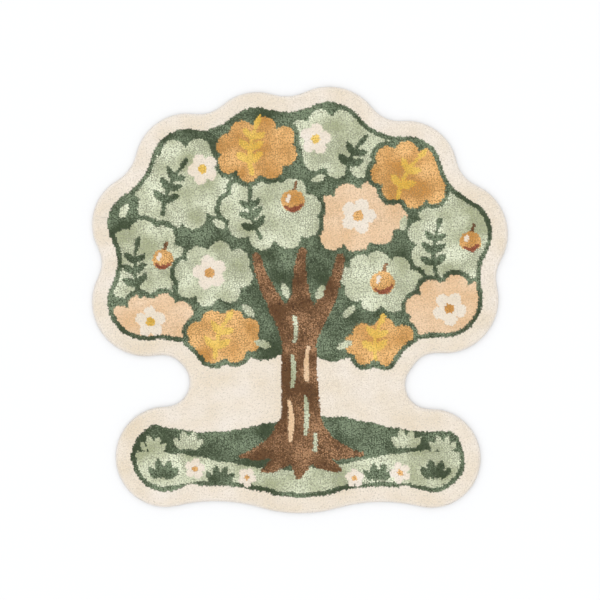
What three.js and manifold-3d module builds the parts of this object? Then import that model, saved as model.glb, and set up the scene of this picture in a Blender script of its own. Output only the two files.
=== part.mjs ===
// A child's contour rug, cut to the outline of a storybook tree: a lobed crown above a broad mound of ground.
// Short cotton pile on a canvas backing, lying flat. Millimetres, +Z up, +Y towards the top of the crown.
// The origin is at the middle of the underside.

import * as THREE from "three";
import { mergeVertices } from "three/addons/utils/BufferGeometryUtils.js";
import Module from "manifold-3d";

// Driving sizes
const RUG_HEIGHT = 15; // from the floor to the usual top of the pile
const EDGE_FACET = 23; // length of one straight facet along the edge
const LUMP_PITCH = 23; // spacing of the points of the uneven top
const SLAB_MARGIN = 30; // how far the cutting slab runs past the edge
const SLAB_BELOW = 5; // how far the cutting slab runs below the floor
const WELD = 1e-3; // points closer than this are one point

// The edge is a chain of round lobes, listed clockwise from the top of the crown.
// Each lobe runs into the next one along an arc that is hollow, with the radius in the last column.
const LOBES = [
  { name: "crown top", x: 75, y: 408, radius: 142, hollow: 90 },
  { name: "crown upper right", x: 275, y: 330, radius: 132, hollow: 90 },
  { name: "crown right", x: 398, y: 170, radius: 138, hollow: 90 },
  { name: "crown lower right", x: 372, y: 2, radius: 140, hollow: 70 },
  { name: "crown skirt right", x: 205, y: -112, radius: 105, hollow: 62 },
  { name: "mound right", x: 338, y: -408, radius: 128, hollow: 420 },
  { name: "mound middle", x: 0, y: -190, radius: 360, hollow: 420 },
  { name: "mound left", x: -345, y: -404, radius: 130, hollow: 62 },
  { name: "crown skirt left", x: -215, y: -105, radius: 108, hollow: 70 },
  { name: "crown lower left", x: -395, y: -5, radius: 141, hollow: 80 },
  { name: "crown left", x: -405, y: 195, radius: 131, hollow: 110 },
  { name: "crown upper left", x: -290, y: 345, radius: 136, hollow: 90 },
  { name: "crown top left", x: -110, y: 400, radius: 136, hollow: 120 },
];

// Section of the edge, from the floor up: the backing is set back, the pile leans out over it and rounds off.
const EDGE_SECTION = [
  { z: 0, inset: 4 },
  { z: 2.5, inset: 1.6 },
  { z: 6.5, inset: 0 },
  { z: 10.5, inset: 1.4 },
  { z: 13, inset: 5 },
  { z: 14.6, inset: 11 },
  { z: 16, inset: 20 },
  { z: 18, inset: 34 },
];

// The pile stands a little higher and lower in soft patches: slow waves, each with its own slant.
const LUMPS = [
  { wave: 310, slant: 20, start: 0.4, height: 0.4 },
  { wave: 205, slant: 75, start: 1.9, height: 0.35 },
  { wave: 150, slant: 130, start: 3.1, height: 0.3 },
  { wave: 118, slant: 165, start: 5.2, height: 0.25 },
];

// Two faint troughs stay across the rug where it was folded for packing, deepest towards its sides.
const CREASES = [
  { y: 211, depth: 1.8, halfWidth: 17 },
  { y: -281, depth: 1.8, halfWidth: 17 },
];
const CREASE_DEPTH_AT_MIDDLE = 0.35; // share of a crease's depth that is left at the rug's middle

const wasm = await Module();
wasm.setup();

/** The full turn from one angle to another, anticlockwise, between 0 and 2 pi. */
function sweepBetween(from, to) {
  return THREE.MathUtils.euclideanModulo(to - from, 2 * Math.PI);
}

/** Centre of the hollow arc that touches two neighbouring lobes from outside the rug. */
function hollowCentre(lobe, next) {
  const way = new THREE.Vector2(next.x - lobe.x, next.y - lobe.y);
  const apart = way.length();
  const toLobe = lobe.radius + lobe.hollow;
  const toNext = next.radius + lobe.hollow;
  const along = (toLobe ** 2 - toNext ** 2 + apart ** 2) / (2 * apart);
  const aside = Math.sqrt(toLobe ** 2 - along ** 2);
  way.divideScalar(apart);
  // The lobes run clockwise, so the outside lies to the left of the way.
  return new THREE.Vector2(lobe.x + way.x * along - way.y * aside, lobe.y + way.y * along + way.x * aside);
}

/** The arcs of the edge in order, clockwise: each lobe, then the hollow after it. */
function edgeArcs() {
  const lobeCentres = LOBES.map((lobe) => new THREE.Vector2(lobe.x, lobe.y));
  const hollows = LOBES.map((lobe, i) => hollowCentre(lobe, LOBES[(i + 1) % LOBES.length]));
  const angle = (from, to) => Math.atan2(to.y - from.y, to.x - from.x);
  return LOBES.flatMap((lobe, i) => {
    const centre = lobeCentres[i];
    const next = lobeCentres[(i + 1) % LOBES.length];
    const before = hollows.at(i - 1);
    const after = hollows[i];
    const start = angle(centre, before);
    const hollowStart = angle(after, centre);
    return [
      { centre, radius: lobe.radius, start, turn: -sweepBetween(angle(centre, after), start), outward: 1 },
      {
        centre: after,
        radius: lobe.hollow,
        start: hollowStart,
        turn: sweepBetween(hollowStart, angle(after, next)),
        outward: -1,
      },
    ];
  });
}

/** One row of points round the edge, drawn in from it by an inset, with the same count at every inset. */
function edgeRow(arcs, inset) {
  return arcs.flatMap(({ centre, radius, start, turn, outward }) => {
    const facets = Math.max(2, Math.round((Math.abs(turn) * radius) / EDGE_FACET));
    return Array.from({ length: facets }, (_, i) => {
      const at = start + (turn * i) / facets;
      const reach = radius - outward * inset;
      return new THREE.Vector2(centre.x + reach * Math.cos(at), centre.y + reach * Math.sin(at));
    });
  });
}

/** The rug's body with a plain flat top: the edge section carried round the outline, closed at both ends. */
function edgeBody(arcs) {
  // The arcs run clockwise, and the rows run the other way, so that the faces turn outwards.
  const rows = EDGE_SECTION.map(({ z, inset }) => ({ z, points: edgeRow(arcs, inset).reverse() }));
  const count = rows[0].points.length;
  const positions = rows.flatMap(({ z, points }) => points.flatMap((p) => [p.x, p.y, z]));
  const faces = [];
  for (let row = 0; row < rows.length - 1; row++) {
    for (let i = 0; i < count; i++) {
      const a = row * count + i;
      const b = row * count + ((i + 1) % count);
      faces.push(a, b, b + count, a, b + count, a + count);
    }
  }
  const topStart = (rows.length - 1) * count;
  for (const [a, b, c] of THREE.ShapeUtils.triangulateShape(rows[0].points, [])) {
    faces.push(a, c, b);
  }
  for (const [a, b, c] of THREE.ShapeUtils.triangulateShape(rows.at(-1).points, [])) {
    faces.push(topStart + a, topStart + b, topStart + c);
  }
  return new THREE.BufferGeometry()
    .setAttribute("position", new THREE.Float32BufferAttribute(positions, 3))
    .setIndex(faces);
}

/** Height of the pile's top at a place on the rug. */
function pileTop(x, y, halfWidth) {
  let top = RUG_HEIGHT;
  for (const { wave, slant, start, height } of LUMPS) {
    const turn = THREE.MathUtils.degToRad(slant);
    const along = x * Math.cos(turn) + y * Math.sin(turn);
    top += height * Math.sin((2 * Math.PI * along) / wave + start);
  }
  for (const crease of CREASES) {
    const share = THREE.MathUtils.lerp(CREASE_DEPTH_AT_MIDDLE, 1, Math.abs(x) / halfWidth);
    top -= crease.depth * share * Math.exp(-(((y - crease.y) / crease.halfWidth) ** 2));
  }
  return top;
}

/** A slab a little larger than the rug, whose top is the uneven top of the pile. */
function pileSlab(width, length) {
  const slabWidth = width + 2 * SLAB_MARGIN;
  const slabLength = length + 2 * SLAB_MARGIN;
  const across = Math.round(slabWidth / LUMP_PITCH);
  const along = Math.round(slabLength / LUMP_PITCH);
  const box = new THREE.BoxGeometry(slabWidth, slabLength, 2 * SLAB_BELOW, across, along, 1);
  box.deleteAttribute("normal");
  box.deleteAttribute("uv");
  const slab = mergeVertices(box, WELD);
  const position = slab.getAttribute("position");
  for (let i = 0; i < position.count; i++) {
    if (position.getZ(i) > 0) {
      position.setZ(i, pileTop(position.getX(i), position.getY(i), width / 2));
    }
  }
  return slab;
}

/** A closed geometry as a solid that can be cut. */
function toSolid(geometry) {
  return new wasm.Manifold(
    new wasm.Mesh({
      numProp: 3,
      vertProperties: new Float32Array(geometry.getAttribute("position").array),
      triVerts: new Uint32Array(geometry.index.array),
    }),
  );
}

/** A cut solid as a geometry again. */
function toGeometry(solid) {
  const { vertProperties, triVerts } = solid.getMesh();
  const geometry = new THREE.BufferGeometry()
    .setAttribute("position", new THREE.BufferAttribute(vertProperties, 3))
    .setIndex(new THREE.BufferAttribute(triVerts, 1));
  geometry.computeVertexNormals();
  return geometry;
}

const arcs = edgeArcs();
const extent = new THREE.Box2().setFromPoints(edgeRow(arcs, 0));
const extentSize = extent.getSize(new THREE.Vector2());
const extentMiddle = extent.getCenter(new THREE.Vector2());

const cottonPile = new THREE.MeshStandardMaterial({ color: 0xbcc0a3, roughness: 0.95, metalness: 0 });
const rugSolid = toSolid(edgeBody(arcs)).intersect(toSolid(pileSlab(extentSize.x, extentSize.y)));
const rug = new THREE.Mesh(toGeometry(rugSolid), cottonPile);
rug.name = "rug";
rug.position.set(-extentMiddle.x, -extentMiddle.y, 0);

const group = new THREE.Group();
group.add(rug);

export default group;
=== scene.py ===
"""A child's contour rug with a storybook tree: short cut cotton pile on a canvas backing, lying flat.

Metres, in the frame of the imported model: +Z up, +Y towards the top of the tree's crown, and the origin at
the middle of the underside. The picture's tables are in millimetres, from the same origin.
"""

import logging
import math
from collections.abc import Iterator, Sequence
from dataclasses import astuple, dataclass, field, fields
from enum import Enum

import bpy
import numpy as np
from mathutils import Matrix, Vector
from mathutils.geometry import delaunay_2d_cdt


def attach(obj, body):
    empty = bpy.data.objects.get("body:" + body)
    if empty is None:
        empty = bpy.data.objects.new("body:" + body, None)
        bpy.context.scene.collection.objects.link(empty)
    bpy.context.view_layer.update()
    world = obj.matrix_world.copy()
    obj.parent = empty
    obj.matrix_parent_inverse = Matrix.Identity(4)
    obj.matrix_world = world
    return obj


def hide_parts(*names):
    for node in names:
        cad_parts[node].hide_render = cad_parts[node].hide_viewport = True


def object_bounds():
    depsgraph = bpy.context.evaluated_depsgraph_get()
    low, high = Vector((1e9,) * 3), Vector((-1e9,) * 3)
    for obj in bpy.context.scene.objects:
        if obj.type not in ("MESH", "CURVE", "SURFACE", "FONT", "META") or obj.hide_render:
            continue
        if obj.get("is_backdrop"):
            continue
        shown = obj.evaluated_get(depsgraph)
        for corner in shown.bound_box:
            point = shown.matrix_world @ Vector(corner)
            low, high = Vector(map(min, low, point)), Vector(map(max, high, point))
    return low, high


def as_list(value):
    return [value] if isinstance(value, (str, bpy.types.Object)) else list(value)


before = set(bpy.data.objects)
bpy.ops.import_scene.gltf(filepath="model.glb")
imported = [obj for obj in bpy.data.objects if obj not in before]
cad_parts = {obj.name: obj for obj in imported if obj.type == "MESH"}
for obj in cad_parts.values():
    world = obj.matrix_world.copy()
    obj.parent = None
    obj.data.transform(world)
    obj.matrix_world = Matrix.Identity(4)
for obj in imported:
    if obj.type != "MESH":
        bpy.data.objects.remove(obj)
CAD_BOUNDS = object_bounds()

log = logging.getLogger("rug")

MM = 0.001
FULL_TURN = 2 * math.pi
TINY = 1e-9
RUG_NODE = "rug"
BODY = "root"


class Yarn(Enum):
    """The dyed yarns of the pile, numbered."""

    CREAM = 0
    SAGE = 1
    FOREST = 2
    BROWN = 3
    TAN = 4
    OCHRE = 5
    YELLOW = 6
    RUSSET = 7


@dataclass(frozen=True)
class Waves:
    """Slow, even noise without a grid: sine waves whose slants, lengths and starts are drawn once.

    Size is the usual wave's length, and tightness is the range of how many waves a real one has in it.
    """

    size: float
    seed: int
    strength: float = 1.0
    tightness: tuple[float, float] = (0.65, 1.5)
    count: int = 9

    def _phases(self, x: np.ndarray, y: np.ndarray) -> Iterator[tuple[np.ndarray, float, float]]:
        """Works out one wave after the other.

        Args:
            x: Places across.
            y: Places along.

        Returns:
            For each wave, its phase at each place, its slant and its tightness.
        """
        low, high = self.tightness
        rng = np.random.default_rng(self.seed)
        rows = rng.uniform((0.0, low, 0.0), (FULL_TURN, high, FULL_TURN), (self.count, 3))
        for slant, tightness, start in rows:
            turn = FULL_TURN / self.size * tightness
            yield turn * (x * math.cos(slant) + y * math.sin(slant)) + start, slant, tightness

    def height(self, x: np.ndarray, y: np.ndarray) -> np.ndarray:
        """Height of the noise.

        Args:
            x: Places across.
            y: Places along.

        Returns:
            Heights with a spread of about half the strength and an even middle of zero.
        """
        total = sum(np.sin(phase) for phase, _, _ in self._phases(x, y))
        return self.strength * (total / math.sqrt(2 * self.count))

    def slope(self, x: np.ndarray, y: np.ndarray) -> np.ndarray:
        """Uphill direction of the noise.

        Args:
            x: Places across.
            y: Places along.

        Returns:
            The slope's two components, one row a place, with the same spread as the height.
        """
        total = np.zeros((len(x), 2))
        for phase, slant, tightness in self._phases(x, y):
            steep = np.cos(phase) * tightness
            total += np.stack([steep * math.cos(slant), steep * math.sin(slant)], axis=1)
        return self.strength * (total / math.sqrt(2 * self.count))


def summed(waves: Sequence[Waves], x: np.ndarray, y: np.ndarray) -> np.ndarray:
    """Height of several noises laid over each other, at places across and along."""
    return sum(wave.height(x, y) for wave in waves)


@dataclass(frozen=True)
class Puff:
    """One round of foliage or ground: a circle, in millimetres."""

    x: float
    y: float
    radius: float


@dataclass(frozen=True)
class Clump:
    """A clump of leaves: an oval with a scalloped rim, in millimetres and degrees."""

    yarn: Yarn
    x: float
    y: float
    half_width: float
    half_height: float
    scallops: int
    turn: float


@dataclass(frozen=True)
class Stroke:
    """A brush stroke: its bend points, and its widths at even steps along it, in millimetres."""

    yarn: Yarn
    points: tuple[tuple[float, float], ...]
    widths: tuple[float, ...]


@dataclass(frozen=True)
class Sprig:
    """A stem with pairs of leaves, in millimetres and degrees."""

    yarn: Yarn
    x: float
    y: float
    length: float
    turn: float
    pairs: int


@dataclass(frozen=True)
class Spot:
    """Where a blossom, a fruit, a loose leaf or a tuft of grass stands, in millimetres and degrees."""

    yarn: Yarn
    x: float
    y: float
    size: float
    turn: float = 0.0


@dataclass(frozen=True)
class Hill:
    """The upper line of a stretch of ground, in slow waves, in millimetres."""

    level: float
    rise: float
    length: float
    start: float

    def line(self, x: np.ndarray) -> np.ndarray:
        """Heights of the line at places across."""
        return self.level + self.rise * np.sin(x / self.length + self.start)


@dataclass(frozen=True)
class MotifForms:
    """The forms that motifs of a kind share.

    Lengths, widths and gaps are in millimetres and turns in degrees. The rest are shares of the motif's own
    size. A path has a row for each bend: how far across, and how far up.
    """

    clump_core: float = 0.79
    clump_overlap: float = 1.12
    leaf_length: float = 40.0
    leaf_width: float = 20.0
    leaf_point_width: float = 3.0
    leaf_swell: tuple[float, ...] = (0.85, 1.0, 0.8)
    stem_widths: tuple[float, ...] = (11.5, 10.5, 8)
    stem_bend: float = 0.16
    stem_steps: int = 41
    stem_leaf_steps: tuple[int, int] = (9, 38)
    stem_leaf_turn: float = 54.0
    stem_thinning: float = 0.22
    petals: int = 5
    petal_foot: float = 0.62
    petal_roundness: float = 0.7
    heart: float = 0.3
    fruit_squatness: float = 1.05
    fruit_stalk: tuple[tuple[float, float], ...] = ((2, 0.8), (9, 1.55))
    fruit_stalk_widths: tuple[float, ...] = (9, 9)
    fruit_shade: tuple[tuple[float, float], ...] = ((-0.62, -0.5), (0.1, -1.1), (0.78, -0.26))
    fruit_shade_widths: tuple[float, ...] = (6, 15, 6)
    fruit_glint: tuple[tuple[float, float], ...] = ((-0.42, 0.05), (-0.3, 0.42))
    fruit_glint_widths: tuple[float, ...] = (9, 11)
    blades: tuple[tuple[float, float], ...] = ((122, 36), (98, 50), (76, 48), (52, 36))
    blade_gap: float = 11.0
    blade_sink: float = 8.0


@dataclass(frozen=True)
class TreePicture:
    """The tables of the storybook tree, in millimetres and degrees."""

    border: float = 41.0
    line: float = 13.0
    blend: float = 34.0
    unsteady_hand: tuple[Waves, ...] = (Waves(60, 3, 1.9), Waves(20, 4, 0.9))
    forms: MotifForms = MotifForms()
    far_hill: Hill = Hill(-318, 20, 92, 1.0)
    near_hill: Hill = Hill(-412, 24, 120, -1.3)
    crown: tuple[Puff, ...] = (
        Puff(75, 408, 101),
        Puff(275, 330, 91),
        Puff(398, 170, 97),
        Puff(372, 2, 99),
        Puff(205, -112, 64),
        Puff(-215, -105, 67),
        Puff(-395, -5, 100),
        Puff(-405, 195, 90),
        Puff(-290, 345, 95),
        Puff(-110, 400, 95),
        Puff(0, 200, 330),
        Puff(-130, 60, 190),
        Puff(130, 60, 190),
        Puff(-92, -92, 62),
        Puff(86, -98, 60),
    )
    ground: tuple[Puff, ...] = (
        Puff(338, -408, 87),
        Puff(-345, -404, 89),
        Puff(0, -190, 319),
        Puff(190, -400, 105),
        Puff(-190, -400, 105),
    )
    clumps: tuple[Clump, ...] = (
        Clump(Yarn.SAGE, 104, 402, 134, 90, 10, -8),
        Clump(Yarn.SAGE, -298, 296, 136, 118, 10, 18),
        Clump(Yarn.SAGE, 392, 150, 116, 132, 10, 6),
        Clump(Yarn.TAN, 150, 214, 128, 92, 9, 12),
        Clump(Yarn.SAGE, -74, 226, 132, 100, 9, -6),
        Clump(Yarn.SAGE, -398, 88, 108, 118, 9, -6),
        Clump(Yarn.OCHRE, -112, 386, 108, 84, 8, 8),
        Clump(Yarn.OCHRE, 284, 322, 106, 84, 8, -20),
        Clump(Yarn.SAGE, 208, 46, 108, 80, 9, -10),
        Clump(Yarn.TAN, 382, -22, 112, 86, 8, 12),
        Clump(Yarn.SAGE, -222, 66, 104, 84, 8, 12),
        Clump(Yarn.TAN, -380, -56, 112, 74, 8, 4),
        Clump(Yarn.OCHRE, -196, -94, 98, 72, 8, 4),
        Clump(Yarn.OCHRE, 206, -110, 92, 62, 7, 4),
    )
    trunk: tuple[Stroke, ...] = (
        Stroke(Yarn.BROWN, ((0, -372), (8, -300), (-8, -170), (0, -20)), (118, 104, 96, 90, 74)),
        Stroke(Yarn.BROWN, ((-24, -336), (-54, -392), (-150, -402)), (84, 56, 12)),
        Stroke(Yarn.BROWN, ((24, -336), (60, -396), (158, -396)), (84, 56, 12)),
        Stroke(Yarn.BROWN, ((-22, -366), (-44, -420), (-96, -440)), (68, 46, 10)),
        Stroke(Yarn.BROWN, ((24, -366), (50, -424), (104, -436)), (68, 46, 10)),
        Stroke(Yarn.BROWN, ((0, -380), (4, -420), (-6, -458)), (74, 50, 12)),
        Stroke(Yarn.BROWN, ((-2, -130), (-50, -20), (-92, 18), (-112, 112)), (70, 50, 40, 32, 20)),
        Stroke(Yarn.BROWN, ((2, -120), (50, -30), (92, 20), (104, 108)), (70, 50, 42, 32, 20)),
        Stroke(Yarn.BROWN, ((0, -60), (12, 30), (-12, 60), (8, 124)), (70, 50, 40, 30, 20)),
    )
    bark: tuple[Stroke, ...] = (
        Stroke(Yarn.TAN, ((-26, -360), (-18, -310), (-28, -262)), (9, 14, 9)),
        Stroke(Yarn.SAGE, ((14, -346), (22, -300), (14, -250)), (9, 14, 9)),
        Stroke(Yarn.SAGE, ((-20, -222), (-12, -184), (-20, -146)), (9, 13, 9)),
        Stroke(Yarn.TAN, ((18, -206), (14, -160), (22, -122)), (9, 13, 9)),
        Stroke(Yarn.SAGE, ((-14, -108), (-8, -76), (-14, -44)), (9, 13, 9)),
        Stroke(Yarn.SAGE, ((38, -386), (42, -366), (38, -344)), (9, 13, 9)),
    )
    sprigs: tuple[Sprig, ...] = (
        Sprig(Yarn.FOREST, -352, 222, 132, 68, 3),
        Sprig(Yarn.FOREST, 352, 60, 132, 88, 3),
        Sprig(Yarn.FOREST, -410, 10, 128, 94, 3),
        Sprig(Yarn.YELLOW, -124, 326, 126, 84, 3),
        Sprig(Yarn.YELLOW, 252, 264, 118, 62, 2),
        Sprig(Yarn.YELLOW, -218, -146, 102, 72, 2),
        Sprig(Yarn.YELLOW, 194, -150, 92, 82, 2),
        Sprig(Yarn.FOREST, 122, 326, 84, 66, 2),
        Sprig(Yarn.FOREST, -100, 160, 116, 104, 3),
    )
    blossoms: tuple[Spot, ...] = (
        Spot(Yarn.YELLOW, 40, 414, 40, 10),
        Spot(Yarn.YELLOW, -250, 336, 40, 40),
        Spot(Yarn.OCHRE, 150, 216, 46, 0),
        Spot(Yarn.OCHRE, -232, 70, 44, 30),
        Spot(Yarn.OCHRE, 384, -22, 44, 60),
        Spot(Yarn.YELLOW, -384, -56, 40, 20),
        Spot(Yarn.OCHRE, -270, -434, 27, 10),
        Spot(Yarn.OCHRE, 258, -444, 27, 40),
        Spot(Yarn.OCHRE, 140, -458, 24, 20),
        Spot(Yarn.OCHRE, -136, -456, 24, 60),
    )
    fruits: tuple[Spot, ...] = (
        Spot(Yarn.OCHRE, -18, 254, 30),
        Spot(Yarn.OCHRE, 212, 44, 31),
        Spot(Yarn.OCHRE, -352, 104, 27),
        Spot(Yarn.OCHRE, 438, 150, 27),
    )
    loose_leaves: tuple[Spot, ...] = (
        Spot(Yarn.SAGE, -30, 6, 1.0, 112),
        Spot(Yarn.SAGE, 44, 2, 1.0, 66),
        Spot(Yarn.SAGE, -120, -42, 1.0, 132),
        Spot(Yarn.SAGE, 112, -46, 1.0, 48),
        Spot(Yarn.SAGE, -78, -120, 1.0, 160),
        Spot(Yarn.SAGE, 96, -124, 1.0, 24),
        Spot(Yarn.SAGE, -462, 212, 1.0, 60),
        Spot(Yarn.SAGE, 30, 306, 0.9, 20),
        Spot(Yarn.SAGE, 262, 180, 0.9, 78),
        Spot(Yarn.SAGE, -192, 186, 0.9, 150),
    )
    grass: tuple[Spot, ...] = (
        Spot(Yarn.FOREST, -352, -452, 1.0),
        Spot(Yarn.FOREST, -206, -462, 0.9),
        Spot(Yarn.FOREST, 200, -456, 0.9),
        Spot(Yarn.FOREST, 348, -452, 1.0),
        Spot(Yarn.SAGE, -288, -376, 0.95),
        Spot(Yarn.SAGE, 272, -372, 0.95),
        Spot(Yarn.SAGE, -378, -382, 0.8),
        Spot(Yarn.SAGE, 366, -380, 0.8),
    )


class Edge:
    """The rug's outline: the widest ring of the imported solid, smoothed."""

    NEAR = 4 * MM
    LEVEL = 0.01 * MM
    # Corners that are the same to so many decimals of a metre are one
    DECIMALS = 6

    def __init__(self, node: bpy.types.Object, steps: int = 5) -> None:
        """Reads the ring and rounds its facets with a curve through its points.

        Args:
            node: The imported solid.
            steps: Points for each facet of the ring.
        """
        ring = self._widest_ring(node)
        before, after, later = (np.roll(ring, shift, axis=0) for shift in (1, -1, -2))
        t = np.linspace(0, 1, steps, endpoint=False)[None, :, None]
        ring, before, after, later = (row[:, None, :] for row in (ring, before, after, later))
        bent = (
            2 * ring
            + (after - before) * t
            + (2 * before - 5 * ring + 4 * after - later) * t**2
            + (3 * ring - before - 3 * after + later) * t**3
        ) / 2
        self.points = bent.reshape(-1, 2)

    def _widest_ring(self, node: bpy.types.Object) -> np.ndarray:
        """Walks round the solid at the height where it reaches furthest.

        Args:
            node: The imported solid.

        Returns:
            The ring's points, anticlockwise, without those that stand very close to the last one.
        """
        mesh = node.data
        places = np.zeros(len(mesh.vertices) * 3, np.float32)
        mesh.vertices.foreach_get("co", places)
        places = places.reshape(-1, 3).astype(float)
        height = places[places[:, 0].argmax(), 2]
        welded, number = np.unique(np.round(places, self.DECIMALS), axis=0, return_inverse=True)
        number = number.reshape(-1)
        level = np.abs(welded[:, 2] - height) < self.LEVEL
        joined: dict[int, set[int]] = {}
        for edge in mesh.edges:
            a, b = (int(number[v]) for v in edge.vertices)
            if a != b and level[a] and level[b]:
                joined.setdefault(a, set()).add(b)
                joined.setdefault(b, set()).add(a)
        first = min(joined)
        walk = [first]
        last, here = first, min(joined[first])
        while here != first:
            walk.append(here)
            last, here = here, next(n for n in joined[here] if n != last)
        ring = welded[walk, :2]
        ring = ring[np.linalg.norm(ring - np.roll(ring, 1, axis=0), axis=1) > self.NEAR]
        return ring if self._turning(ring) > 0 else ring[::-1]

    @staticmethod
    def _turning(ring: np.ndarray) -> float:
        """Twice the area inside a ring, negative where it runs clockwise."""
        x, y = ring.T
        return float(np.sum(x * np.roll(y, -1) - np.roll(x, -1) * y))

    @property
    def area(self) -> float:
        """Area inside the outline."""
        return self._turning(self.points) / 2

    @property
    def outward(self) -> np.ndarray:
        """Unit vectors that point out of the rug at the outline's points."""
        along = np.roll(self.points, -1, axis=0) - np.roll(self.points, 1, axis=0)
        out = np.stack([along[:, 1], -along[:, 0]], axis=1)
        return out / np.linalg.norm(out, axis=1, keepdims=True)

    def drawn_in(self, inset: float) -> np.ndarray:
        """The outline's points moved into the rug by an inset."""
        return self.points - self.outward * inset

    def measure(self, places: np.ndarray, batch: int = 3000) -> tuple[np.ndarray, np.ndarray]:
        """Measures how far places are inside the outline.

        Args:
            places: Places on the rug, one row each.
            batch: Places worked out at a time.

        Returns:
            The distance in from the edge, negative outside, and the unit vector towards the nearest edge.
        """
        start = self.points
        along = np.roll(start, -1, axis=0) - start
        length = np.sum(along**2, axis=1)
        depths, ways = [], []
        for first in range(0, len(places), batch):
            place = places[first : first + batch, None, :]
            share = np.clip(np.sum((place - start) * along, axis=2) / length, 0, 1)
            gap = start + share[..., None] * along - place
            far = np.sum(gap**2, axis=2)
            nearest = far.argmin(axis=1)
            rows = np.arange(len(nearest))
            way = gap[rows, nearest]
            line = along[nearest]
            side = np.sign(line[:, 1] * way[:, 0] - line[:, 0] * way[:, 1])
            depth = np.sqrt(far[rows, nearest])
            depths.append(side * depth)
            ways.append(way * side[:, None] / np.maximum(depth, TINY)[:, None])
        return np.concatenate(depths), np.concatenate(ways)


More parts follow.
